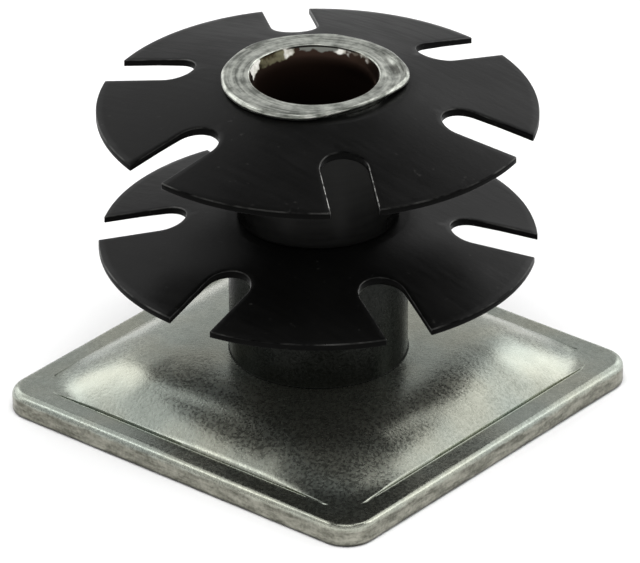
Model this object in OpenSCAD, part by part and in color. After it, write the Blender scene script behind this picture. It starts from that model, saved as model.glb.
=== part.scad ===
// Threaded caster insert for the end of a square tube.
// A flanged body with a threaded bore carries two star washers and a sleeve on its neck.
// The neck end is swaged over the upper washer and clamps the stack.
// Millimetres, +Z up. Origin at the centre of the flange underside, where the caster stem screws in.

/* [Flange plate] */
// side of the square flange
plate_side = 31.75; // [30.5:0.05:34]
// corner radius of the flange in plan
plate_corner_r = 2.2; // [1.6:0.1:3]
// thickness of the flat rim
rim_t = 1.75; // [1.4:0.05:2.1]
// width of the flat rim outside the crease, where the tube's end sits
rim_w = 1.9; // [1.5:0.05:2.6]
// rounding along the top edge of the rim
rim_edge_r = 0.6; // [0.3:0.05:0.9]
// rounding along the bottom edge of the rim
rim_base_r = 0.25; // [0.1:0.05:0.5]

/* [Raised pad] */
// height of the sharp step along the crease, where the rim is pressed flat
pad_step = 0.15; // [0.05:0.05:0.3]
// width of a sloping flank in plan, from the crease to the pad top's unrounded edge
flank_run = 3.6; // [2.8:0.1:4.4]
// height of the pad top above the rim
pad_rise = 2.15; // [1.6:0.05:2.6]
// corner radius of the pad top in plan
pad_corner_r = 1; // [0.9:0.1:2]
// rounding along the pad's top edge
pad_edge_r = 2.4; // [1:0.1:2.8]

/* [Boss and threaded bore] */
// outside diameter of the boss
boss_d = 12.5; // [12:0.1:13.5]
// height of the boss above the pad
boss_h = 10.1; // [8:0.1:13]
// bore at the thread crests, for a 3/8-16 UNC thread
thread_bore_d = 8; // [7.8:0.05:8.2]
// depth of the 45 degree countersink that leads into the thread
thread_lead = 1; // [0.5:0.1:1.5]

/* [Neck and swaged lip] */
// plain bore of the neck that carries the washers and the sleeve
neck_bore_d = 9; // [8.6:0.1:9.4]
// wall of the neck
neck_wall = 0.6; // [0.4:0.05:0.8]
// depth of the plain bore below the top of the boss
neck_bore_sink = 1.5; // [0.8:0.1:3]
// reach of the swaged lip past the neck
lip_reach = 1.4; // [1:0.05:1.8]
// thickness of the swaged lip
lip_t = 0.6; // [0.4:0.05:0.8]
// rounding inside the mouth of the lip
lip_throat_r = 0.8; // [0.4:0.05:1]

/* [Star washers] */
// outside diameter over the teeth
washer_d = 30.5; // [29:0.1:31.5]
// thickness of the spring steel
washer_t = 0.4; // [0.3:0.05:0.5]
// how far the flat hub reaches past the boss it is seated on
washer_hub_margin = 0.1; // [0:0.05:0.6]
// drop of the dished teeth from the hub to the rim
washer_dish = 1.9; // [1.2:0.1:2.6]
// number of slots, and so of teeth
slot_count = 6; // [4:1:8]
// width of a slot
slot_w = 3.3; // [2.6:0.1:3.8]
// radius from the axis to the rounded root of a slot
slot_root_r = 9.2; // [8.4:0.1:10.5]
// turn of the lower washer about the axis
lower_washer_turn = 34.3; // [0:0.1:60]
// turn of the upper washer about the axis
upper_washer_turn = 18; // [0:0.1:60]

/* [Spacer sleeve] */
// wall of the sleeve
sleeve_wall = 0.4; // [0.3:0.05:0.8]
// length of the sleeve
sleeve_l = 9.6; // [7:0.1:13]

/* [Fit] */
// radial gap between the neck and what slides over it
neck_clearance = 0.1; // [0.05:0.05:0.2]

/* [Hidden] */
$fn = 96;

// how far a solid runs into the next one it is joined to, or a cutter past the face it opens
overlap = 0.5;

// heights of the stack, from the flange up
pad_top_z = rim_t + pad_rise;
boss_top_z = pad_top_z + boss_h;
sleeve_z = boss_top_z + washer_t;
upper_washer_z = sleeve_z + sleeve_l;
lip_z = upper_washer_z + washer_t;
top_z = lip_z + lip_t;

// diameters of the neck, of what slides over it and of the lip
neck_d = neck_bore_d + 2 * neck_wall;
neck_fit_d = neck_d + 2 * neck_clearance;
lip_d = neck_d + 2 * lip_reach;

// the pad inside the rim, and the slope of its flanks from the top of the step to the pad top
pad_side = plate_side - 2 * rim_w;
pad_top_side = pad_side - 2 * flank_run;
flank_angle = atan2(pad_rise - pad_step, flank_run);
pad_edge_tangent = pad_edge_r * tan(flank_angle / 2);
pad_corner_axis = pad_top_side / 2 - pad_corner_r;

// distance from the corner axis to the flank at height z
function flank_at(z) = pad_corner_r + (pad_top_z - z) / tan(flank_angle);

// radial section of the rim from a corner axis outwards, with its rounded edges
module rim_section() {
    union() {
        square([plate_corner_r - rim_edge_r, rim_t]);
        square([plate_corner_r - rim_base_r, rim_t - rim_edge_r]);
        translate([0, rim_base_r]) square([plate_corner_r, rim_t - rim_edge_r - rim_base_r]);
        translate([plate_corner_r - rim_edge_r, rim_t - rim_edge_r]) circle(rim_edge_r);
        translate([plate_corner_r - rim_base_r, rim_base_r]) circle(rim_base_r);
    }
}

// one side of a square and the round corner at its end, swept from a section that starts
// at the corner's axis; the axis stands at [corner_axis, corner_axis]
module side_and_corner(corner_axis) {
    translate([corner_axis, corner_axis, 0]) {
        rotate([90, 0, 0]) linear_extrude(2 * corner_axis) children();
        rotate_extrude(angle = 90) children();
    }
}

// square plate swept from the rim section: a core, four sides and four round corners
module flange() {
    corner_axis = plate_side / 2 - plate_corner_r;
    union() {
        translate([-corner_axis, -corner_axis, 0]) cube([2 * corner_axis, 2 * corner_axis, rim_t]);
        for (turn = [0 : 90 : 270]) {
            rotate([0, 0, turn]) side_and_corner(corner_axis) rim_section();
        }
    }
}

// section of the pad from its corner axis outwards: flat top, rounded edge, sloping flank
module flank_section() {
    base_z = rim_t - overlap;
    top_end = pad_corner_r - pad_edge_tangent;
    flank_start = [
        pad_corner_r + pad_edge_tangent * cos(flank_angle),
        pad_top_z - pad_edge_tangent * sin(flank_angle)
    ];
    difference() {
        polygon([[0, base_z], [flank_at(base_z), base_z], [pad_corner_r, pad_top_z], [0, pad_top_z]]);
        difference() {
            polygon([[top_end, pad_top_z], flank_start, [pad_corner_r + overlap, pad_top_z + overlap]]);
            translate([top_end, pad_top_z - pad_edge_r]) circle(pad_edge_r);
        }
    }
}

// raised pad: flat top and sloping flanks with conical corners, cut off square at the crease
module raised_pad() {
    base_z = rim_t - overlap;
    intersection() {
        translate([-pad_side / 2, -pad_side / 2, base_z])
            cube([pad_side, pad_side, pad_top_z - base_z]);
        union() {
            translate([-pad_corner_axis, -pad_corner_axis, base_z])
                cube([2 * pad_corner_axis, 2 * pad_corner_axis, pad_top_z - base_z]);
            for (turn = [0 : 90 : 270]) {
                rotate([0, 0, turn]) side_and_corner(pad_corner_axis) flank_section();
            }
        }
    }
}

// section of the lip that is swaged out over the upper washer, with a round outer edge
module lip_section() {
    bead_at = [lip_d / 2 - lip_t / 2, lip_z + lip_t / 2];
    union() {
        translate([0, lip_z]) square([bead_at[0], lip_t]);
        translate(bead_at) circle(lip_t / 2);
    }
}

// section of the throat that is cut away where the bore rolls out into the lip
module throat_section() {
    start_z = top_z - lip_throat_r;
    difference() {
        translate([0, start_z]) square([neck_bore_d / 2 + lip_throat_r, lip_throat_r + overlap]);
        translate([neck_bore_d / 2 + lip_throat_r, start_z]) circle(lip_throat_r);
    }
}

// the through bore: countersunk mouth, threaded length, then the plain bore of the neck
module through_bore() {
    lead_d = thread_bore_d + 2 * thread_lead;
    neck_bore_z = boss_top_z - neck_bore_sink;
    ramp_h = (neck_bore_d - thread_bore_d) / 2;
    translate([0, 0, -overlap]) cylinder(d = thread_bore_d, h = top_z + 2 * overlap);
    translate([0, 0, -overlap])
        cylinder(d1 = lead_d + 2 * overlap, d2 = thread_bore_d, h = thread_lead + overlap);
    translate([0, 0, neck_bore_z - ramp_h])
        cylinder(d1 = thread_bore_d, d2 = neck_bore_d, h = ramp_h);
    translate([0, 0, neck_bore_z]) cylinder(d = neck_bore_d, h = top_z - neck_bore_z + overlap);
    rotate_extrude() throat_section();
}

module threaded_body() {
    color([0.72, 0.73, 0.70])
        difference() {
            union() {
                flange();
                raised_pad();
                translate([0, 0, pad_top_z - overlap]) cylinder(d = boss_d, h = boss_h + overlap);
                translate([0, 0, boss_top_z - overlap])
                    cylinder(d = neck_d, h = lip_z - boss_top_z + overlap);
                rotate_extrude() lip_section();
            }
            through_bore();
        }
}

// one slot in plan: a round root and straight sides that run out through the rim
module slot() {
    root_at = slot_root_r + slot_w / 2;
    union() {
        translate([root_at, 0]) circle(d = slot_w);
        translate([root_at, -slot_w / 2]) square([washer_d / 2, slot_w]);
    }
}

// dished washer with its hub resting at z = 0 and slots that part it into teeth
module star_washer() {
    hole_r = neck_fit_d / 2;
    hub_r = boss_d / 2 + washer_hub_margin;
    rim_r = washer_d / 2;
    difference() {
        rotate_extrude()
            polygon([
                [hole_r, 0], [hub_r, 0], [rim_r, -washer_dish],
                [rim_r, washer_t - washer_dish], [hub_r, washer_t], [hole_r, washer_t]
            ]);
        for (k = [0 : slot_count - 1]) {
            rotate([0, 0, k * 360 / slot_count])
                translate([0, 0, -washer_dish - overlap])
                    linear_extrude(washer_dish + washer_t + 2 * overlap) slot();
        }
    }
}

module lower_star_washer() {
    color([0.13, 0.13, 0.13])
        translate([0, 0, boss_top_z]) rotate([0, 0, lower_washer_turn]) star_washer();
}

module spacer_sleeve() {
    color([0.24, 0.24, 0.23])
        translate([0, 0, sleeve_z])
            difference() {
                cylinder(d = neck_fit_d + 2 * sleeve_wall, h = sleeve_l);
                translate([0, 0, -overlap])
                    cylinder(d = neck_fit_d, h = sleeve_l + 2 * overlap);
            }
}

module upper_star_washer() {
    color([0.13, 0.13, 0.13])
        translate([0, 0, upper_washer_z]) rotate([0, 0, upper_washer_turn]) star_washer();
}

threaded_body();
lower_star_washer();
spacer_sleeve();
upper_star_washer();
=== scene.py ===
"""Looks of the threaded caster insert: fine meshes over the solids, materials, light and camera."""
import math
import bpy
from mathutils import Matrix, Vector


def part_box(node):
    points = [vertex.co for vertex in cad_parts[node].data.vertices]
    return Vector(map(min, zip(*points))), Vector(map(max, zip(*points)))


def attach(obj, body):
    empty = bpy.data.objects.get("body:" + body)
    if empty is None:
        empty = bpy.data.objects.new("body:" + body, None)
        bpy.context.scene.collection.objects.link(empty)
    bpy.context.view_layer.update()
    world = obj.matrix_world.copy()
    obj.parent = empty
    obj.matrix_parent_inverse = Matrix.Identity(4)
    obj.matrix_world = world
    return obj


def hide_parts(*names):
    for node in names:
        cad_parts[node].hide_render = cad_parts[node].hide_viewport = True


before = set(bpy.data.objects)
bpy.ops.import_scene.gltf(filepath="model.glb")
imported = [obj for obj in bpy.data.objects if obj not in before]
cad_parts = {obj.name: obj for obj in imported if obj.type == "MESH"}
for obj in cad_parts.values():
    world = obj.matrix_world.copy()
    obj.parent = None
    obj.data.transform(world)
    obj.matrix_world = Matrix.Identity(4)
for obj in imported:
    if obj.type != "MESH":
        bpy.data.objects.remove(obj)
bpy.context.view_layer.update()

from types import SimpleNamespace

import bmesh
import bpy
import numpy as np
from mathutils import Matrix, Vector, noise

MM = 0.001


def box_mm(node):
    """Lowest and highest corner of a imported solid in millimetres."""
    return [np.array(corner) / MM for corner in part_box(node)]


# Sizes in millimetres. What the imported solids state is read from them, the rest is named here.
body_high = box_mm("threaded_body")[1]
upper_washer_high = box_mm("upper_star_washer")[1]
sleeve_low, sleeve_high = box_mm("spacer_sleeve")

PLATE_HALF = body_high[0]
PLATE_CORNER_R = 2.2
RIM_T = 1.75
RIM_W = 1.9
RIM_EDGE_R = 0.6
RIM_BASE_R = 0.25

PAD_STEP = 0.18
CREASE_STEP = 0.05
FLANK_RUN = 3.6
FLANK_BULGE = 0.3
PAD_RISE = 2.15
PAD_CORNER_R = 4.0
PAD_EDGE_SOFT = 0.36
PAD_FOOT_SOFT = 0.1
CREASE_CORNER_R = 2.0
CREASE_RUNOUT_FROM = 2.6
CREASE_RUNOUT = 1.2
GROOVE_W = 0.16
GROOVE_DEPTH = 0.12

BOSS_R = 6.25
BOSS_FILLET = 0.04
BOSS_TOP_BEVEL = 0.12
LEAD_R = 5.0
LEAD_H = 1.0
THREAD_CREST_R = 4.0
THREAD_PITCH = 25.4 / 16
THREAD_DEPTH = 0.76
NECK_BORE_R = 4.5
NECK_BORE_SINK = 1.5
NECK_R = 5.1
LIP_REACH = 6.45
LIP_EDGE_R = 0.27
LIP_MOUTH_R = 4.54
LIP_THROAT_R = 0.12

WASHER_T = 0.4
WASHER_HOLE_R = 5.2
WASHER_HUB_R = 6.35
WASHER_RIM_R = 15.25
WASHER_DISH = 1.9
SLOT_COUNT = 6
SLOT_HALF_W = 1.65
SLOT_ROOT_R = 9.2
WASHER_EDGE_R = 0.07
WASHER_BURR = 0.08
ROOT_BURR = 0.12
ROOT_BURR_REACH = 3.5
SLEEVE_CHAMFER = 0.08

PAD_TOP_Z = RIM_T + PAD_RISE
BOSS_TOP_Z = sleeve_low[2] - WASHER_T
RAMP_Z = BOSS_TOP_Z - NECK_BORE_SINK
LIP_Z = upper_washer_high[2]
TOP_Z = body_high[2]
PAD_HALF = PLATE_HALF - RIM_W
PAD_TOP_HALF = PAD_HALF - FLANK_RUN
PAD_CORNER_AXIS = PAD_TOP_HALF - PAD_CORNER_R

# How the two washers lie: height of the hub, turn about the axis, how far the teeth sag all round and tilt
# down towards one side, and by how many degrees single slots are off their even spacing.
LOWER_WASHER = SimpleNamespace(seat_z=BOSS_TOP_Z, turn=math.radians(34.3), sag=0.05, tilt=0.2,
                               tilt_at=math.radians(-50.5), slot_offsets={5: -0.9})
UPPER_WASHER = SimpleNamespace(seat_z=LIP_Z - WASHER_T, turn=math.radians(18), sag=0.03, tilt=0.24,
                               tilt_at=math.radians(-25), slot_offsets={4: 1.4, 5: 1.0})

# One ray for each of these angles, and every ring of the body has a point on each ray.
RAYS = 576
ANGLE = np.arange(RAYS) * 2 * math.pi / RAYS
ACROSS = np.maximum(np.abs(np.cos(ANGLE)), np.abs(np.sin(ANGLE)))
ALONG = np.minimum(np.abs(np.cos(ANGLE)), np.abs(np.sin(ANGLE)))


def steps(first, last, count):
    """Evenly spaced values with both ends."""
    return np.linspace(first, last, count)


def turns(first, last, count):
    """Evenly spaced angles in radians from degrees, with both ends."""
    return np.radians(steps(first, last, count))


def smooth(share):
    """Share from 0 to 1 with soft ends."""
    share = np.clip(share, 0, 1)
    return share * share * (3 - 2 * share)


def angle_from(degrees):
    """Signed distance in degrees of each ray from a direction."""
    away = np.degrees(ANGLE) - degrees
    return (away + 180) % 360 - 180


def hump(degrees, width):
    """Smooth rise to 1 at a direction, gone at about twice that width to either side."""
    return np.exp(-np.abs(angle_from(degrees) / width) ** 3)


def wave(degrees, count=1):
    """Waves round the axis with a crest at a direction."""
    return np.cos(np.radians(count * angle_from(degrees)))


def rounded_square(half, corner):
    """Radius along each ray to a square of that half side with round corners."""
    straight = half / ACROSS
    axis = half - corner
    to_axis = axis * (ACROSS + ALONG)
    inside = np.maximum(to_axis ** 2 - 2 * axis ** 2 + corner ** 2, 0)
    return np.where(ALONG * straight > axis, to_axis + np.sqrt(inside), straight)


# Threaded body: rings of (radius, height) along the rays, from the countersink out and round to it again

def plate_outline(inset):
    """Radius along each ray to the flange's outline, moved inwards."""
    return rounded_square(PLATE_HALF - inset, PLATE_CORNER_R - inset)


def rim_edge_radius():
    """Rounding of the rim's top edge along each ray: tighter on the +X side and at the front corner."""
    return RIM_EDGE_R - 0.2 * hump(0, 40) - 0.2 * hump(-45, 16)


def flange_rings():
    """Underside, round bottom edge, side face and round top edge of the flange."""
    rings = [(LEAD_R, 0)]
    flat_end = plate_outline(RIM_BASE_R)
    for share in (0.02, 0.3, 0.6, 0.97):
        rings.append((LEAD_R + (flat_end - LEAD_R) * share, 0))
    for turn in turns(0, 90, 5):
        inset = RIM_BASE_R * (1 - math.sin(turn))
        rings.append((plate_outline(inset), RIM_BASE_R * (1 - math.cos(turn))))
    off_edge = 0.06
    for z in steps(RIM_BASE_R + off_edge, RIM_T - RIM_EDGE_R - off_edge, 4):
        rings.append((plate_outline(0), z))
    edge_r = rim_edge_radius()
    for turn in turns(0, 90, 9):
        inset = edge_r * (1 - math.cos(turn))
        rings.append((plate_outline(inset), RIM_T - edge_r * (1 - math.sin(turn))))
    return rings


def crease_line():
    """Radius along each ray to the crease, and the share of its step and groove there. They run out before
    the corners."""
    radius = rounded_square(PAD_HALF, CREASE_CORNER_R)
    runout = (ALONG * radius - PAD_HALF + CREASE_RUNOUT_FROM) / CREASE_RUNOUT
    return radius, 1 - smooth(runout)


def rim_rings():
    """Flat rim from its round edge to the crease, and the groove along the crease."""
    crease, stepped = crease_line()
    groove = GROOVE_DEPTH * stepped
    edge = plate_outline(rim_edge_radius())
    rings = []
    for share in (0.06, 0.2, 0.35, 0.5, 0.65, 0.8, 0.94, 1):
        rings.append((edge + (crease + GROOVE_W - edge) * share, RIM_T))
    rings.append((crease + 0.5 * GROOVE_W, RIM_T - groove))
    rings.append((crease + 0.02, RIM_T - 0.6 * groove))
    return rings


def pad_height(radius):
    """Height over the rim of the pad's flat top, soft edge and flanks. At a corner the flanks fan out from
    the corner's axis, from the round top to a squarer foot, and no longer bulge."""
    past_across = np.maximum(radius * ACROSS - PAD_CORNER_AXIS, 1e-6)
    past_along = np.maximum(radius * ALONG - PAD_CORNER_AXIS, 0)
    past_axis = np.hypot(past_across, past_along)
    squareness = 3
    past_square = (past_across ** squareness + past_along ** squareness) ** (1 / squareness)
    to_foot = (PAD_HALF - PAD_CORNER_AXIS) * past_axis / past_square
    down_flank = (past_axis - PAD_CORNER_R) / (to_foot - PAD_CORNER_R)
    into_corner = past_along / past_axis / 0.4
    bulge = FLANK_BULGE * (1 - smooth(into_corner))
    drop = down_flank * (1 - bulge) + bulge * np.maximum(down_flank, 0) ** 2
    return PAD_RISE - PAD_EDGE_SOFT * np.logaddexp(0, (PAD_RISE - PAD_STEP) * drop / PAD_EDGE_SOFT)


def pad_surface(radius, stepped):
    """Height of the pad, which flows into the rim where the crease has no step."""
    least = CREASE_STEP * stepped
    above = PAD_FOOT_SOFT * np.logaddexp(0, (pad_height(radius) - least) / PAD_FOOT_SOFT)
    return RIM_T + least + above


def pad_rings():
    """The crease with its broken edge, the flank and the flat top of the pad. The edge has a chamfer on the
    front part of the -Y side."""
    crease, stepped = crease_line()
    bevel = (0.01 + 0.05 * hump(-65, 34)) * stepped
    chamfer = 0.08 * hump(-72, 26) * stepped
    chamfer_share = 0.012
    boss_foot = BOSS_R + BOSS_FILLET
    rings = [(crease, pad_surface(crease, stepped) - np.maximum(bevel, chamfer))]
    for share in (0.003, 0.012, 0.04, 0.08, *steps(0.12, 0.7, 20), 0.76, 0.84, 0.94):
        radius = crease + (boss_foot - crease) * share
        cut = chamfer * max(0.0, 1 - share / chamfer_share)
        rings.append((radius, pad_surface(radius, stepped) - cut))
    return rings


def boss_rings():
    """Fillet at the foot of the boss, its side, its bevelled top and the neck inside the other pieces."""
    rings = []
    for turn in turns(0, 90, 5):
        radius = BOSS_R + BOSS_FILLET * (1 - math.sin(turn))
        rings.append((radius, PAD_TOP_Z + BOSS_FILLET * (1 - math.cos(turn))))
    for z in steps(PAD_TOP_Z + BOSS_FILLET + 0.1, BOSS_TOP_Z - BOSS_TOP_BEVEL, 8):
        rings.append((BOSS_R, z))
    rings.append((BOSS_R - BOSS_TOP_BEVEL, BOSS_TOP_Z))
    rings.append((NECK_R, BOSS_TOP_Z))
    rings.append((NECK_R, 0.5 * (BOSS_TOP_Z + LIP_Z)))
    rings.append((NECK_R, LIP_Z - 0.3))
    return rings


def lip_form():
    """Form of the swaged lip along each ray: rolled out unevenly, bent up where it is dented on the +X side,
    with a trough beside the dent."""
    dent = hump(-12, 38)
    ripple = np.array([noise.noise(Vector((3 * math.cos(a), 3 * math.sin(a), 0.7))) for a in ANGLE])
    reach = LIP_REACH + 0.3 * wave(170) - 0.85 * dent
    reach += 0.12 * hump(46, 16) + 0.12 * hump(-100, 25)
    return SimpleNamespace(
        reach=reach + 0.07 * ripple,
        edge_r=LIP_EDGE_R - 0.08 * dent,
        lift=0.2 * dent + 0.03 * (1 + ripple),
        mouth=LIP_MOUTH_R + 0.3 * wave(176) + 0.08 * wave(129.5, 2),
        crest=TOP_Z - 0.03 - 0.03 * ripple,
        trough=0.24 * hump(54, 22))


def lip_rings():
    """Underside of the lip, its round outer edge, its top and the turn into the throat."""
    lip = lip_form()
    under = lip.reach - lip.edge_r
    neck_end = np.minimum(NECK_R + 0.04, under - 0.02)
    rings = [(neck_end, LIP_Z + 0.3 * lip.lift), (0.5 * (neck_end + under), LIP_Z + 0.7 * lip.lift)]
    edge_z = np.minimum(LIP_Z + lip.lift + lip.edge_r, TOP_Z - 0.01 - lip.edge_r)
    for turn in turns(-90, 90, 11):
        radius = lip.reach - lip.edge_r * (1 - math.cos(turn))
        rings.append((radius, edge_z + lip.edge_r * math.sin(turn)))
    rim, rim_z = rings[-1]
    inner = lip.mouth + LIP_THROAT_R
    for share in (0.08, 0.2, 0.35, 0.5, 0.65, 0.8, 0.92):
        bowl = math.sin(math.pi * share) ** 2
        z = rim_z + (lip.crest - rim_z) * share - lip.trough * bowl
        rings.append((rim + (inner - rim) * share, z))
    for turn in turns(90, 0, 9):
        radius = lip.mouth + LIP_THROAT_R * (1 - math.cos(turn))
        rings.append((radius, lip.crest - LIP_THROAT_R * (1 - math.sin(turn))))
    return rings


def neck_bore_rings():
    """The neck's bore, from the throat of the lip down to the ramp above the thread."""
    mouth, mouth_z = lip_rings()[-1]
    throat = mouth - 0.3
    throat_z = mouth_z - 0.9
    settle_z = LIP_Z - 1.6
    rings = []
    for share in (0.1, 0.4, 0.7, 1):
        rings.append((mouth + (throat - mouth) * share, mouth_z + (throat_z - mouth_z) * share))
    for share in (0.4, 0.7, 1):
        radius = throat + (NECK_BORE_R - throat) * smooth(share)
        rings.append((radius, throat_z + (settle_z - throat_z) * share))
    for z in steps(settle_z - 2, RAMP_Z + 0.1, 4):
        rings.append((NECK_BORE_R, z))
    rings.append((NECK_BORE_R, RAMP_Z))
    return rings


# Corners of the thread's section as (place along the pitch, share of the depth)
THREAD_SECTION = ((0.5 * THREAD_PITCH + THREAD_PITCH / 8, 0), (0.5 * THREAD_PITCH - THREAD_PITCH / 8, 0),
                  (THREAD_PITCH / 16, 1), (-THREAD_PITCH / 16, 1))


def thread_rings():
    """A right-hand internal thread from the ramp to the countersink. Its rings climb along the helix, and
    what would pass an end lies on it."""
    top_z = RAMP_Z - (NECK_BORE_R - THREAD_CREST_R)
    bottom_z = LEAD_H
    runout = 0.7 * THREAD_PITCH
    highest_turn = math.ceil((top_z - bottom_z) / THREAD_PITCH) + 1
    climb = THREAD_PITCH * ANGLE / (2 * math.pi)
    rings = []
    for turn in range(highest_turn, -2, -1):
        for along, depth in THREAD_SECTION:
            z = np.clip(bottom_z + turn * THREAD_PITCH + along + climb, bottom_z, top_z)
            fade = smooth((z - bottom_z) / runout) * smooth((top_z - z) / runout)
            rings.append((THREAD_CREST_R + THREAD_DEPTH * depth * fade, z))
    return rings


def ring_points(rings):
    """Points of the rings in millimetres, by ring and ray."""
    points = np.zeros((len(rings), RAYS, 3))
    for row, (radius, z) in zip(points, rings):
        row[:, 0] = radius * np.cos(ANGLE)
        row[:, 1] = radius * np.sin(ANGLE)
        row[:, 2] = z
    return points


def ring_faces(count, helix):
    """Corners of the faces between rings that wrap round both ways. After a turn, the rings of the helix go
    on where those of the turn above began."""
    index = np.arange(count * RAYS).reshape(count, RAYS)
    next_ring = np.arange(count)
    next_ring[helix] = np.maximum(next_ring[helix] - len(THREAD_SECTION), helix.start or 0)
    along = np.roll(index, -1, 1)
    along[:, -1] = index[next_ring, 0]
    return np.stack([index, along, np.roll(along, -1, 0), np.roll(index, -1, 0)], -1).reshape(-1, 4)


def join_rings(name, rings, bore_start=None, helix=slice(0)):
    """Closed mesh from rings, with doubled points merged. Faces from the ring bore_start on get the second
    material, and the slice helix holds the rings of the thread."""
    points = ring_points(rings).reshape(-1, 3) * MM
    mesh = bpy.data.meshes.new(name)
    mesh.from_pydata(points.tolist(), [], ring_faces(len(rings), helix).tolist())
    if bore_start is not None:
        in_bore = np.arange(len(rings)) >= bore_start
        mesh.polygons.foreach_set("material_index", np.repeat(in_bore, RAYS).astype(np.int32))
    shape = bmesh.new()
    shape.from_mesh(mesh)
    doubled = 0.0005 * MM
    bmesh.ops.remove_doubles(shape, verts=shape.verts, dist=doubled)
    bmesh.ops.dissolve_degenerate(shape, edges=shape.edges, dist=doubled)
    bmesh.ops.recalc_face_normals(shape, faces=shape.faces)
    shape.to_mesh(mesh)
    shape.free()
    return mesh


def wear_flange(mesh):
    """Presses shallow waves into the rim, its edges and the flanks, always inwards, so that the outline
    stays."""
    deepest = 0.015
    points = np.zeros((len(mesh.vertices), 3))
    normals = np.zeros((len(mesh.vertices), 3))
    mesh.vertices.foreach_get("co", points.ravel())
    mesh.vertex_normals.foreach_get("vector", normals.ravel())
    places = points / MM
    on_flange = (places[:, 2] > 0.3) & (places[:, 2] < PAD_TOP_Z + 0.01)
    on_flange &= np.abs(places[:, :2]).max(1) > BOSS_R + 2
    for k in np.flatnonzero(on_flange):
        spot = Vector(places[k])
        level = 0.7 * noise.noise(spot * 0.3) + 0.3 * noise.noise(spot * 0.9 + Vector((7, 3, 1)))
        points[k] -= normals[k] * MM * deepest * (0.5 + 0.5 * level)
    mesh.vertices.foreach_set("co", points.ravel())
    mesh.update()


def smooth_shading(mesh, sharp_degrees):
    """Smooth shading, with edges kept where faces meet at more than that angle."""
    mesh.shade_smooth()
    mesh.set_sharp_from_angle(angle=math.radians(sharp_degrees))


def place(name, mesh, node):
    """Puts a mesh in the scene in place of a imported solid."""
    piece = bpy.data.objects.new(name, mesh)
    bpy.context.scene.collection.objects.link(piece)
    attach(piece, "root")
    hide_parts(node)
    return piece


def make_body():
    outside = flange_rings() + rim_rings() + pad_rings() + boss_rings() + lip_rings()
    above_thread = outside + neck_bore_rings()
    down_to_lead = above_thread + thread_rings()
    lead_edge = 0.06
    countersink = (LEAD_R - lead_edge, lead_edge)
    throat_start = len(outside) - 3
    mesh = join_rings("body_skin", down_to_lead + [countersink], bore_start=throat_start,
                      helix=slice(len(above_thread), len(down_to_lead)))
    wear_flange(mesh)
    smooth_shading(mesh, sharp_degrees=38)
    return place("body_skin", mesh, "threaded_body")


# Star washers: each tooth is a grid of points between two slots, and the hub closes the ring

COLUMNS = 24
HUB_RADII = (WASHER_HOLE_R, 5.8, WASHER_HUB_R - 0.08, WASHER_HUB_R + 0.08, 7.2, 8.2)
HUB_ROWS = [(radius, 0, 0) for radius in HUB_RADII]

# Places of the second and third material on a washer. The first one is the black of its faces.
WEAR_AND_PAINTED_GLINT = 1
CUT_EDGE = 2


def slot_rows():
    """Radius and half angle of a slot from its round root out to the rim, and how far the row of points that
    starts there bows inwards, so that it meets the root at an angle."""
    root_axis = SLOT_ROOT_R + SLOT_HALF_W
    root_bow = 0.6
    rows = []
    for turn in turns(0, 90, 13):
        x = root_axis - SLOT_HALF_W * math.cos(turn)
        y = SLOT_HALF_W * math.sin(turn)
        rows.append((math.hypot(x, y), math.atan2(y, x), root_bow * math.cos(turn) ** 2))
    for radius in steps(rows[-1][0], WASHER_RIM_R, 9)[1:]:
        rows.append((radius, math.asin(SLOT_HALF_W / radius), 0))
    return rows


def slot_direction(washer, k):
    """Direction of a washer's slot from its number."""
    offset = washer.slot_offsets.get(k % SLOT_COUNT, 0)
    return washer.turn + k * 2 * math.pi / SLOT_COUNT + math.radians(offset)


class WasherGrid:
    """Points and faces of a washer by row, tooth and column, on the upper and the lower face."""

    def __init__(self, washer):
        self.washer = washer
        self.rows = HUB_ROWS + slot_rows()
        self.slots = [slot_direction(washer, k) for k in range(SLOT_COUNT + 1)]
        self.shape = bmesh.new()
        self.made = {}

    def position(self, row, tooth, column, upper):
        """Where a point lies, in millimetres. The lower face has burrs, most of all at the slots' roots."""
        side_radius, half, bow = self.rows[row]
        first = self.slots[tooth] + half
        last = self.slots[tooth + 1] - half
        angle = first + (last - first) * column / COLUMNS
        radius = side_radius - bow * (1 - math.exp(-min(column, COLUMNS - column)))
        slope = max(0.0, (radius - WASHER_HUB_R) / (WASHER_RIM_R - WASHER_HUB_R))
        dish = WASHER_DISH + self.washer.sag + self.washer.tilt * math.cos(angle - self.washer.tilt_at)
        burr = WASHER_BURR * min(1.0, 4 * slope)
        if row >= len(HUB_ROWS) and column in (0, COLUMNS):
            burr += ROOT_BURR * max(0.0, 1 - (radius - SLOT_ROOT_R) / ROOT_BURR_REACH)
        z = self.washer.seat_z - slope * dish + (WASHER_T if upper else -burr)
        return Vector((radius * math.cos(angle), radius * math.sin(angle), z))

    def point(self, row, tooth, column, upper):
        """A point of the mesh, made when it is first used. On the hub, a tooth ends where the next begins."""
        half = self.rows[row][1]
        if half == 0 and column == COLUMNS:
            tooth, column = (tooth + 1) % SLOT_COUNT, 0
        key = row, tooth, column, upper
        if key not in self.made:
            self.made[key] = self.shape.verts.new(self.position(*key) * MM)
        return self.made[key]

    def add_faces(self, row, tooth, column):
        """One square of the grid on the upper and on the lower face."""
        square = [(row, column), (row + 1, column), (row + 1, column + 1), (row, column + 1)]
        self.shape.faces.new([self.point(r, tooth, c, True) for r, c in square])
        self.shape.faces.new([self.point(r, tooth, c, False) for r, c in reversed(square)])

    def add_cut(self, tooth, start, end):
        """The cut edge between the faces, along one side of a square."""
        corners = [(start, False), (end, False), (end, True), (start, True)]
        face = self.shape.faces.new([self.point(row, tooth, column, upper)
                                     for (row, column), upper in corners])
        face.material_index = CUT_EDGE


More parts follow.
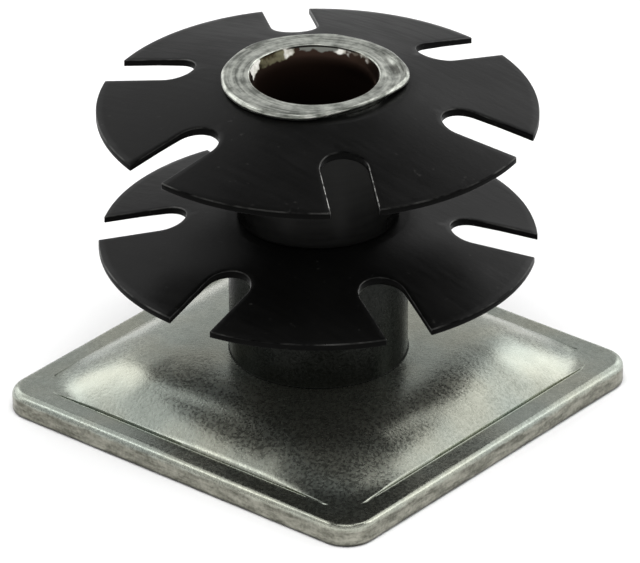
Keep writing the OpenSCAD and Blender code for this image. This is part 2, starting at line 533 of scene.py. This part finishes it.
def washer_mesh(name, washer):
    """A dished washer with slots between its teeth and broken edges."""
    grid = WasherGrid(washer)
    last = len(grid.rows) - 1
    for tooth in range(SLOT_COUNT):
        for column in range(COLUMNS):
            for row in range(last):
                grid.add_faces(row, tooth, column)
            for row in (0, last):
                grid.add_cut(tooth, (row, column), (row, column + 1))
        for row in range(len(HUB_ROWS), last):
            for column in (0, COLUMNS):
                grid.add_cut(tooth, (row, column), (row + 1, column))
    shape = grid.shape
    bmesh.ops.recalc_face_normals(shape, faces=shape.faces)
    sharp = [edge for edge in shape.edges if edge.calc_face_angle(0) > math.radians(50)]
    bmesh.ops.bevel(shape, geom=sharp, offset=WASHER_EDGE_R * MM, segments=2, profile=0.5, affect="EDGES",
                    material=WEAR_AND_PAINTED_GLINT)
    mesh = bpy.data.meshes.new(name)
    shape.to_mesh(mesh)
    shape.free()
    smooth_shading(mesh, sharp_degrees=40)
    return mesh


def make_washers():
    lower = washer_mesh("lower_washer_skin", LOWER_WASHER)
    upper = washer_mesh("upper_washer_skin", UPPER_WASHER)
    return [place("lower_washer_skin", lower, "lower_star_washer"),
            place("upper_washer_skin", upper, "upper_star_washer")]


# Spacer sleeve: a turned tube with broken edges

def make_sleeve():
    inner, outer = WASHER_HOLE_R, sleeve_high[0]
    low, high = sleeve_low[2], sleeve_high[2]
    cut = SLEEVE_CHAMFER
    off_edge = 0.6
    rings = [(inner, low + cut), (inner + cut, low), (outer - cut, low), (outer, low + cut)]
    rings += [(outer, z) for z in steps(low + off_edge, high - off_edge, 6)]
    rings += [(outer, high - cut), (outer - cut, high), (inner + cut, high), (inner, high - cut)]
    mesh = join_rings("sleeve_skin", rings)
    smooth_shading(mesh, sharp_degrees=35)
    return place("sleeve_skin", mesh, "spacer_sleeve")


# Materials

class Nodes:
    """Short calls for a material's nodes."""

    def __init__(self, name):
        self.material = bpy.data.materials.new(name)
        self.material.use_nodes = True
        self.tree = self.material.node_tree
        self.shader = self.tree.nodes["Principled BSDF"]
        self.coordinates = self.add("ShaderNodeTexCoord").outputs
        self.place = self.coordinates["Object"]
        self.x, self.y, self.z = self.add("ShaderNodeSeparateXYZ", Vector=self.place).outputs

    def add(self, kind, settings=None, **inputs):
        node = self.tree.nodes.new(kind)
        for key, value in (settings or {}).items():
            setattr(node, key, value)
        for key, value in inputs.items():
            self.set(node.inputs[key], value)
        return node

    def set(self, socket, value):
        if isinstance(value, bpy.types.NodeSocket):
            self.tree.links.new(value, socket)
        else:
            socket.default_value = value

    def shade(self, name, value):
        """Sets or links one of the shader's own inputs."""
        self.set(self.shader.inputs[name], value)

    def math(self, operation, first, second=0.0, clamp=False):
        node = self.add("ShaderNodeMath", {"operation": operation, "use_clamp": clamp})
        self.set(node.inputs[0], first)
        self.set(node.inputs[1], second)
        return node.outputs[0]

    def product(self, first, *others):
        for other in others:
            first = self.math("MULTIPLY", first, other)
        return first

    def total(self, first, *others):
        for other in others:
            first = self.math("ADD", first, other)
        return first

    def mixed(self, first, share, second):
        """One value by that share and another by the rest."""
        return self.total(self.product(first, share), self.product(second, 1 - share))

    def length(self, x, y):
        return self.math("SQRT", self.total(self.product(x, x), self.product(y, y)))

    def vector(self, x, y, z):
        return self.add("ShaderNodeCombineXYZ", X=x, Y=y, Z=z).outputs[0]

    def noise(self, vector, scale, detail, roughness):
        node = self.add("ShaderNodeTexNoise", Vector=vector, Scale=scale, Detail=detail, Roughness=roughness)
        return node.outputs["Fac"]

    def streaks(self, scaled, detail, roughness):
        """Noise over three values, each with a scale of its own."""
        vector = self.vector(*(self.product(value, scale) for value, scale in scaled))
        return self.noise(vector, 1.0, detail, roughness)

    def polar_streaks(self, fineness):
        """Noise drawn out along circles round the axis."""
        turn = self.math("ARCTAN2", self.y, self.x)
        radius = self.length(self.x, self.y)
        return self.streaks([(radius, fineness), (self.z, fineness), (turn, 1.2)], 4.0, 0.6)

    def span(self, value, low, high, out_low=0.0, out_high=1.0):
        """Value from low to high, spread over the outgoing range with soft ends."""
        node = self.add("ShaderNodeMapRange", {"interpolation_type": "SMOOTHSTEP"}, Value=value)
        limits = {"From Min": low, "From Max": high, "To Min": out_low, "To Max": out_high}
        for key, limit in limits.items():
            node.inputs[key].default_value = limit
        return node.outputs["Result"]

    def past(self, value, low, high):
        """Share that goes from 0 to 1 as a length goes from low to high millimetres."""
        return self.span(value, low * MM, high * MM)

    def blend(self, share, first, second):
        """Colour between two colours."""
        node = self.add("ShaderNodeMix", {"data_type": "RGBA"})
        self.set(node.inputs["Factor"], share)
        self.set(node.inputs["A"], first)
        self.set(node.inputs["B"], second)
        return node.outputs["Result"]

    def bump(self, height, strength, distance):
        node = self.add("ShaderNodeBump", Height=height, Strength=strength, Distance=distance)
        return node.outputs["Normal"]


def zinc_textures(n):
    """Noise of the zinc plate: grain and patches, and streaks from rolling, shearing and scoring."""
    square = n.math("MAXIMUM", n.math("ABSOLUTE", n.x), n.math("ABSOLUTE", n.y))
    sum_xy = n.total(n.x, n.y)
    difference_xy = n.math("SUBTRACT", n.x, n.y)
    return SimpleNamespace(
        square=square,
        grain=n.noise(n.place, 4300.0, 2.0, 0.6),
        blotch=n.noise(n.place, 1100.0, 3.0, 0.6),
        cloud=n.noise(n.place, 150.0, 2.0, 0.5),
        rolled=n.streaks([(square, 2600.0), (sum_xy, 160.0), (difference_xy, 160.0)], 4.0, 0.6),
        sheared=n.streaks([(n.z, 2400.0), (sum_xy, 420.0), (difference_xy, 420.0)], 4.0, 0.65),
        scored=n.polar_streaks(3800.0))


def plate_side_share(n, sheared):
    """Share that is 1 on the flange's side faces and round corners, up to a ragged line below the edge."""
    corner_axis = (PLATE_HALF - PLATE_CORNER_R) * MM
    past_x = n.math("MAXIMUM", n.math("SUBTRACT", n.math("ABSOLUTE", n.x), corner_axis), 0.0)
    past_y = n.math("MAXIMUM", n.math("SUBTRACT", n.math("ABSOLUTE", n.y), corner_axis), 0.0)
    outside = n.past(n.length(past_x, past_y), PLATE_CORNER_R - 0.5, PLATE_CORNER_R - 0.1)
    ragged_z = n.total(n.z, n.product(sheared, 0.5 * MM))
    return n.product(outside, n.past(ragged_z, 1.7, 1.35))


def painted_boss_shade_share(n):
    """Share that is 1 on the boss, where painted shade is put on the zinc."""
    inside = n.past(n.length(n.x, n.y), BOSS_R + 0.12, BOSS_R + 0.03)
    below_neck = n.past(n.z, BOSS_TOP_Z + 0.5, BOSS_TOP_Z)
    above_plate = n.past(n.z, RIM_T + 0.2, RIM_T + 0.6)
    return n.product(inside, below_neck, above_plate)


def zinc_regions(n, texture):
    """Shares that are 1 on the flat rim, the side faces, their foot with painted contact shadow,
    the boss and the lip.
    """
    # Ragged height below which painted contact shadow darkens the side faces.
    contact_shadow_z = n.total(n.z, n.product(texture.sheared, 0.15 * MM))
    return SimpleNamespace(
        rim=n.past(texture.square, PAD_HALF - 0.1, PAD_HALF + 0.1),
        side=plate_side_share(n, texture.sheared),
        foot=n.past(contact_shadow_z, 0.42, 0.2),
        boss=painted_boss_shade_share(n),
        lip=n.past(n.z, LIP_Z - 0.4, LIP_Z + 0.1))


def zinc_tone(n, texture):
    """Mottling of the plate from 0 to 1."""
    weighted = ((texture.blotch, 0.5), (texture.cloud, 0.5), (texture.grain, 1.1))
    parts = [n.product(n.math("SUBTRACT", noise_value, 0.5), weight) for noise_value, weight in weighted]
    return n.math("ADD", n.total(*parts), 0.5, clamp=True)


def side_colour(n, texture, foot):
    """Sheared side faces, darker partly for the finish and partly as painted shade, with painted contact
    shadow at the foot.
    """
    tone = n.span(n.mixed(texture.sheared, 0.7, texture.grain), 0.3, 0.7)
    # These colours are darker than the plate's partly for the sheared finish and partly as painted shade.
    sheared = n.blend(tone, (0.09, 0.09, 0.07, 1), (0.36, 0.355, 0.3, 1))
    # Painted contact shadow: nearly black towards the floor.
    return n.blend(n.product(foot, 0.9), sheared, (0.03, 0.03, 0.024, 1))


def lip_colour(n, texture):
    """Scored and blotched lip, darker in irregular patches round the trough."""
    tone = n.span(n.mixed(texture.scored, 0.55, texture.blotch), 0.36, 0.62)
    scored = n.blend(tone, (0.15, 0.16, 0.14, 1), (0.62, 0.64, 0.58, 1))
    trough_at = math.radians(52)
    trough_r = 5.7 * MM
    from_trough = n.total(n.math("ABSOLUTE", n.math("SUBTRACT", n.x, trough_r * math.cos(trough_at))),
                          n.math("ABSOLUTE", n.math("SUBTRACT", n.y, trough_r * math.sin(trough_at))))
    # Darker in irregular patches round the trough on the +X side.
    trough_darkening = n.product(n.past(from_trough, 1.8, 0.5), n.span(texture.scored, 0.44, 0.54))
    return n.blend(n.product(trough_darkening, 0.85), scored, (0.05, 0.05, 0.04, 1))


def zinc_colour(n, texture, on):
    """Cool and warm grey plate, the boss painted nearly black as painted shade, and the colours of the side
    faces and the lip.
    """
    tone = zinc_tone(n, texture)
    cool = n.blend(tone, (0.23, 0.255, 0.225, 1), (0.46, 0.50, 0.45, 1))
    warm = n.blend(tone, (0.245, 0.255, 0.21, 1), (0.49, 0.50, 0.425, 1))
    plate = n.blend(n.span(texture.cloud, 0.35, 0.65), cool, warm)
    # Painted shade: the boss gets a nearly black colour for the shade it lies in under the washers.
    boss = n.blend(tone, (0.007, 0.008, 0.007, 1), (0.028, 0.029, 0.027, 1))
    colour = n.blend(on.boss, plate, boss)
    colour = n.blend(on.side, colour, side_colour(n, texture, on.foot))
    return n.blend(on.lip, colour, lip_colour(n, texture))


def zinc_relief(n, texture, on):
    """Grain all over, weaker on the rim and the lip, and streaks on the rim, the lip and the side faces."""
    calm = n.math("MAXIMUM", n.product(on.rim, 0.5), n.product(on.lip, 0.85))
    grained = n.total(n.product(texture.grain, 0.62), n.product(texture.blotch, 0.1))
    return n.total(n.product(grained, n.math("SUBTRACT", 1.0, calm)),
                   n.product(texture.rolled, on.rim, 0.6),
                   n.product(texture.scored, on.lip, 0.4),
                   n.product(texture.sheared, on.side))


def zinc_material():
    """Dull zinc plate: grainy where it was drawn up, streaked along the pressed rim, sheared on the sides,
    which are darker partly for the sheared finish and partly as painted shade, painted nearly black on
    the boss as painted shade, and scored on the lip."""
    n = Nodes("zinc_plate")
    texture = zinc_textures(n)
    on = zinc_regions(n, texture)
    n.shade("Base Color", zinc_colour(n, texture, on))
    # Painted shade: the boss also gets a grey specular tint, which dims its reflections.
    n.shade("Specular Tint", n.blend(on.boss, (1, 1, 1, 1), (0.5, 0.5, 0.5, 1)))
    rough = n.total(n.span(texture.grain, 0.3, 0.7, 0.23, 0.33), n.product(on.rim, -0.02),
                    n.product(on.side, 0.08))
    n.shade("Roughness", n.math("MAXIMUM", rough, n.product(on.lip, 0.31)))
    n.shade("Metallic", 0.97)
    n.shade("Normal", n.bump(zinc_relief(n, texture, on), 0.5, 0.04 * MM))
    return n.material


# Painted highlights in the throat of the lip as (direction, half width in degrees, depth below the top)
PAINTED_HIGHLIGHT_PATCHES = ((199, 11.5, 0.85), (154, 4.5, 0.85), (108, 6, 0.62), (85, 2.5, 0.4))


def bore_material():
    """Throat of the lip in olive and grey patches with painted highlights and a painted shade line at its
    back, and dark brown from there down to the grey countersink."""
    n = Nodes("bore_with_painted_light")
    wobble = n.math("SUBTRACT", n.noise(n.place, 1300.0, 2.0, 0.5), 0.5)
    turn = n.total(n.math("ARCTAN2", n.y, n.x), n.product(wobble, 0.3))
    height = n.total(n.z, n.product(wobble, 0.8 * MM))

    def beside(bearing):
        """Cosine of the angle from a direction in degrees."""
        return n.math("COSINE", n.math("SUBTRACT", turn, math.radians(bearing)))

    def patch(bearing, width, depth):
        """Share that is 1 inside a patch."""
        limit = math.cos(math.radians(width))
        low = TOP_Z - depth
        within = n.span(beside(bearing), limit - 0.003, limit + 0.003)
        return n.product(within, n.past(height, low, low + 0.15))

    # Painted highlights: near-white, non-metallic patches on the throat's wall.
    painted_highlight_share = 0.0
    for bearing, width, depth in PAINTED_HIGHLIGHT_PATCHES:
        painted_highlight_share = n.math("MAXIMUM", painted_highlight_share, patch(bearing, width, depth))
    painted_highlight_colour = n.blend(n.span(wobble, -0.2, 0.1), (0.6, 0.58, 0.5, 1), (0.97, 0.96, 0.9, 1))
    olive = n.blend(n.span(wobble, -0.15, 0.1), (0.09, 0.07, 0.04, 1), (0.34, 0.32, 0.2, 1))
    # Painted shade: a thin dark line along the back of the throat, just under the top.
    at_back = n.span(beside(126), math.cos(math.radians(32)), math.cos(math.radians(24)))
    painted_shade_line = n.product(at_back, n.past(n.z, TOP_Z - 0.25, TOP_Z - 0.2))
    # Grey at the countersink, turning dark brown from there to 8 mm up the bore.
    colour = n.blend(n.past(n.z, LEAD_H, 8), (0.36, 0.375, 0.33, 1), (0.06, 0.037, 0.028, 1))
    colour = n.blend(patch(82, 40, 0.3), colour, (0.2, 0.17, 0.14, 1))
    colour = n.blend(patch(126, 17, 0.55), colour, (0.3, 0.31, 0.28, 1))
    colour = n.blend(patch(171, 23, 0.9), colour, olive)
    colour = n.blend(painted_highlight_share, colour, painted_highlight_colour)
    n.shade("Base Color", n.blend(painted_shade_line, colour, (0.035, 0.034, 0.03, 1)))
    n.shade("Roughness", n.span(n.z, 24.0 * MM, 24.4 * MM, 0.5, 0.28))
    # Not metallic in the painted highlights.
    n.shade("Metallic", n.math("SUBTRACT", 1.0, painted_highlight_share))
    return n.material


def black_material(name, gloss):
    """Satin black oxide on rolled spring steel: faint rolling lines and dust specks."""
    n = Nodes(name)
    lines = n.streaks([(n.x, 260.0), (n.y, 2600.0), (n.z, 900.0)], 3.0, 0.6)
    tone = n.mixed(lines, 0.5, n.noise(n.place, 160.0, 3.0, 0.5))
    specks = n.span(n.noise(n.place, 1900.0, 2.0, 0.5), 0.68, 0.78)
    colour = n.blend(tone, (0.001, 0.001, 0.001, 1), (0.004, 0.004, 0.0038, 1))
    n.shade("Base Color", n.blend(n.product(specks, 0.4), colour, (0.03, 0.03, 0.028, 1)))
    n.shade("Roughness", n.span(tone, 0.35, 0.65, 0.28, 0.4))
    n.shade("Specular IOR Level", gloss)
    height = n.total(n.product(lines, 0.6), n.noise(n.place, 3200.0, 3.0, 0.6))
    n.shade("Normal", n.bump(height, 0.2, 0.03 * MM))
    return n.material


def slot_wear_and_painted_glint_share(n, facing):
    """Share that is 1 on the top edges of the upper washer's front slot: worn steel that is also painted
    highlight.
    """
    front_slot = 5
    slot_at = slot_direction(UPPER_WASHER, front_slot)
    across = n.math("SUBTRACT", n.product(n.x, math.sin(slot_at)), n.product(n.y, math.cos(slot_at)))
    along = n.total(n.product(n.x, math.cos(slot_at)), n.product(n.y, math.sin(slot_at)))
    beside = n.product(n.past(n.math("ABSOLUTE", across), 2.0, 1.9), n.past(along, 10.3, 11),
                       n.past(along, 15, 14.8))
    on_top = n.span(facing, 0.2, 0.5)
    on_upper_washer = n.past(n.z, 20, 21)
    return n.product(beside, on_top, on_upper_washer)


def wear_and_painted_glint_material():
    """Edges of the washers, where the black is rubbed: barely, but through to the steel beside the upper
    washer's front slot, which also stands as painted highlight."""
    n = Nodes("worn_black_edge_and_painted_glint")
    facing = n.add("ShaderNodeSeparateXYZ", Vector=n.coordinates["Normal"]).outputs["Z"]
    rubbed = n.product(n.span(n.noise(n.place, 420.0, 3.0, 0.6), 0.35, 0.7), n.span(facing, 0.0, 0.3))
    fine = n.noise(n.place, 2600.0, 2.0, 0.5)
    # Worn steel on the front slot's top edges, also standing as painted highlight.
    wear_and_painted_glint = n.product(slot_wear_and_painted_glint_share(n, facing), n.span(fine, 0.3, 0.7))
    share = n.math("ADD", n.product(rubbed, 0.14), wear_and_painted_glint, clamp=True)
    n.shade("Base Color", n.blend(share, (0.004, 0.004, 0.004, 1), (0.42, 0.42, 0.4, 1)))
    n.shade("Roughness", n.span(fine, 0.2, 0.8, 0.26, 0.42))
    n.shade("Metallic", 1.0)
    return n.material


def sleeve_material():
    """Dull dark plate with faint turning marks."""
    n = Nodes("dark_plate")
    scored = n.polar_streaks(3000.0)
    tone = n.mixed(scored, 0.6, n.noise(n.place, 300.0, 3.0, 0.5))
    n.shade("Base Color", n.blend(tone, (0.008, 0.008, 0.008, 1), (0.024, 0.024, 0.023, 1)))
    n.shade("Roughness", n.span(tone, 0.3, 0.7, 0.34, 0.46))
    n.shade("Metallic", 1.0)
    n.shade("Specular Tint", (0.35, 0.35, 0.35, 1))
    n.shade("Normal", n.bump(scored, 0.3, 0.03 * MM))
    return n.material


def floor_material():
    """Pale matt floor with the least unevenness."""
    n = Nodes("pale_floor")
    cloud = n.noise(n.place, 9.0, 2.0, 0.5)
    n.shade("Base Color", n.blend(cloud, (0.88, 0.88, 0.88, 1), (0.91, 0.91, 0.91, 1)))
    n.shade("Roughness", 0.9)
    n.shade("Specular IOR Level", 0.1)
    return n.material


# Camera, floor and light

PHOTO_W, PHOTO_H = 640, 563
SENSOR_W = 36.0
FOCAL_PX = 6786.5
CAMERA_AZIMUTH = math.radians(39.52)
CAMERA_ELEVATION = math.radians(28.17)
CAMERA_ROLL = math.radians(-0.226)
CAMERA_DISTANCE = 476.9
ORIGIN_PX = (318.375, 393.65)


def camera_axes():
    """Right, up and forward directions of the level camera."""
    sin_a, cos_a = math.sin(CAMERA_AZIMUTH), math.cos(CAMERA_AZIMUTH)
    sin_e, cos_e = math.sin(CAMERA_ELEVATION), math.cos(CAMERA_ELEVATION)
    right = Vector((cos_a, sin_a, 0))
    up = Vector((-sin_a * sin_e, cos_a * sin_e, cos_e))
    forward = Vector((-sin_a * cos_e, cos_a * cos_e, -sin_e))
    return right, up, forward


def make_camera():
    right, up, forward = camera_axes()
    per_px = CAMERA_DISTANCE / FOCAL_PX
    place_mm = -forward * CAMERA_DISTANCE
    place_mm -= right * (ORIGIN_PX[0] - PHOTO_W / 2) * per_px
    place_mm += up * (ORIGIN_PX[1] - PHOTO_H / 2) * per_px
    turn = Matrix((right, up, -forward)).transposed()
    camera = bpy.data.objects.new("camera", bpy.data.cameras.new("camera"))
    camera.data.sensor_width = SENSOR_W
    camera.data.lens = FOCAL_PX / PHOTO_W * SENSOR_W
    camera.data.clip_start = 0.01
    camera.matrix_world = (Matrix.Translation(place_mm * MM) @ turn.to_4x4()
                           @ Matrix.Rotation(CAMERA_ROLL, 4, "Z"))
    bpy.context.scene.collection.objects.link(camera)
    bpy.context.scene.camera = camera


def make_floor():
    half = 3.0
    corners = [(-half, -half, 0), (half, -half, 0), (half, half, 0), (-half, half, 0)]
    mesh = bpy.data.meshes.new("floor")
    mesh.from_pydata(corners, [], [(0, 1, 2, 3)])
    floor = bpy.data.objects.new("floor", mesh)
    mesh.materials.append(floor_material())
    bpy.context.scene.collection.objects.link(floor)


def add_softbox(name, turn, elevation, distance, width, height, radiance, mirrored=True):
    """A soft light that faces the part. Its turn is measured to the right from straight behind the part."""
    bearing = CAMERA_AZIMUTH - math.radians(turn)
    lift = math.radians(elevation)
    level = math.cos(lift)
    towards = Vector((-math.sin(bearing) * level, math.cos(bearing) * level, math.sin(lift)))
    light = bpy.data.lights.new(name, "AREA")
    light.shape = "RECTANGLE"
    light.size = width
    light.size_y = height
    light.energy = radiance * math.pi * width * height
    box = bpy.data.objects.new(name, light)
    box.location = towards * distance
    box.rotation_euler = towards.to_track_quat("Z", "Y").to_euler()
    box.visible_glossy = mirrored
    bpy.context.scene.collection.objects.link(box)


def make_world():
    """An even studio surround that is pale at the horizon and dim overhead."""
    world = bpy.data.worlds.new("surround")
    bpy.context.scene.world = world
    world.use_nodes = True
    tree = world.node_tree
    direction = tree.nodes.new("ShaderNodeTexCoord")
    split = tree.nodes.new("ShaderNodeSeparateXYZ")
    ramp = tree.nodes.new("ShaderNodeValToRGB")
    tree.links.new(direction.outputs["Generated"], split.inputs[0])
    tree.links.new(split.outputs["Z"], ramp.inputs["Fac"])
    tree.links.new(ramp.outputs["Color"], tree.nodes["Background"].inputs["Color"])
    horizon, zenith = ramp.color_ramp.elements
    horizon.color = (0.55, 0.55, 0.55, 1)
    zenith.color = (0.24, 0.24, 0.24, 1)
    for height, level in ((0.3, 0.68), (0.48, 0.69), (0.8, 0.12)):
        ramp.color_ramp.elements.new(height).color = (level, level, level, 1)


def make_light():
    make_world()
    add_softbox("right_softbox", turn=60, elevation=27, distance=0.9, width=1.2, height=0.85, radiance=0.98)
    add_softbox("right_spot", turn=28, elevation=30, distance=0.8, width=0.34, height=0.3, radiance=1.1)
    add_softbox("right_strip", turn=88, elevation=30, distance=0.8, width=0.12, height=0.45, radiance=2.4)
    add_softbox("left_softbox", turn=-58, elevation=32, distance=0.9, width=1.1, height=0.9, radiance=1.0)
    add_softbox("left_spot", turn=-33, elevation=35, distance=0.8, width=0.26, height=0.26, radiance=1.0)
    add_softbox("left_strip", turn=-91, elevation=42, distance=0.8, width=0.12, height=0.16, radiance=3.0)
    add_softbox("front_strip", turn=180, elevation=62, distance=0.8, width=0.35, height=0.12, radiance=2.5)
    add_softbox("top_strip", turn=180, elevation=78, distance=0.8, width=0.6, height=0.13, radiance=2.4)
    add_softbox("right_top", turn=64, elevation=63, distance=0.8, width=0.34, height=0.26, radiance=1.7)
    add_softbox("floor_light", turn=180, elevation=62, distance=1.2, width=1.2, height=1.2, radiance=2.5,
                mirrored=False)
    bpy.context.scene.view_settings.view_transform = "Standard"


def main():
    make_camera()
    body = make_body()
    body.data.materials.append(zinc_material())
    body.data.materials.append(bore_material())
    washer_materials = (black_material("black_oxide", gloss=0.095), wear_and_painted_glint_material(),
                        black_material("black_cut_edge", gloss=0.02))
    for washer in make_washers():
        for material in washer_materials:
            washer.data.materials.append(material)
    make_sleeve().data.materials.append(sleeve_material())
    make_floor()
    make_light()


main()
